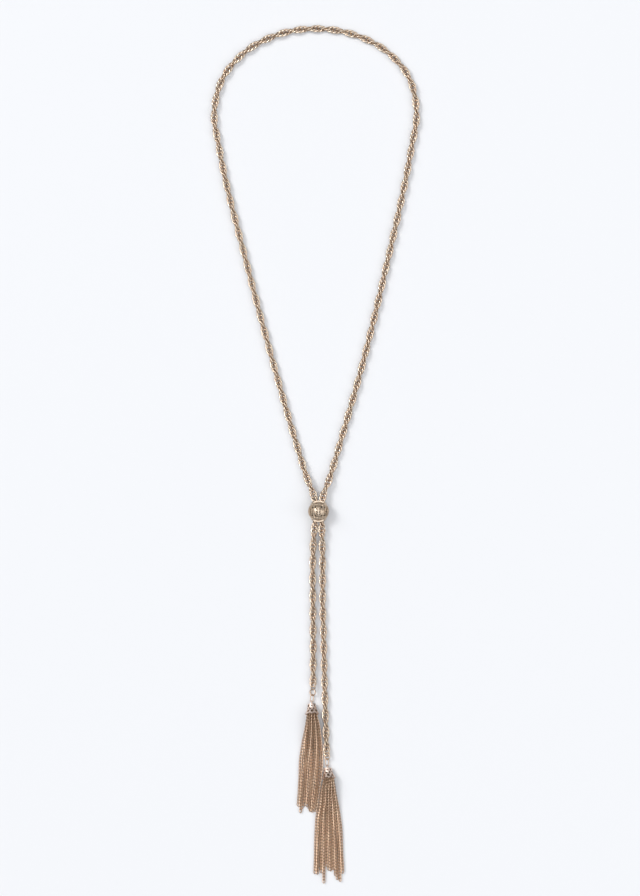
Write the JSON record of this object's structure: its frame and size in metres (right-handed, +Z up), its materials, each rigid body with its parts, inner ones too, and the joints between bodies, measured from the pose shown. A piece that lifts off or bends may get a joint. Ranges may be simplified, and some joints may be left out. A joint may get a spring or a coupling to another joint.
{
  "type": "tassel necklace",
  "caption": "Long slip-over necklace of twisted link chain whose two ends pass through a sliding pierced ball bead and finish in flared caps with tassels of fine chain, laid flat",
  "frame": {"origin": "the middle of the necklace's outline, on the surface that it lies on", "axes": "+Z is up from the surface, +Y runs along the necklace from the tassels towards the nape end of the loop, and +X is to the right as the picture shows it"},
  "size_m": [0.1256, 0.5143, 0.0125],
  "materials": {
    "chain": "polished pale rose gold plating, darkened in the recesses",
    "bead": "antique gold plating, dark in the piercings",
    "rings": "polished pale rose gold plating",
    "caps": "polished pale rose gold plating, dark in the piercings",
    "tassels": "polished rose gold plating, darkened between the links"
  },
  "bodies": {
    "root": {"chain_left": "chain", "chain_right": "chain", "slider_bead": "bead", "end_link_left": "chain", "end_link_right": "chain", "jump_ring_left": "rings", "jump_ring_right": "rings", "cap_left": "caps", "cap_right": "caps", "tassel_left": "tassels", "tassel_right": "tassels"}
  },
  "joints": []
}
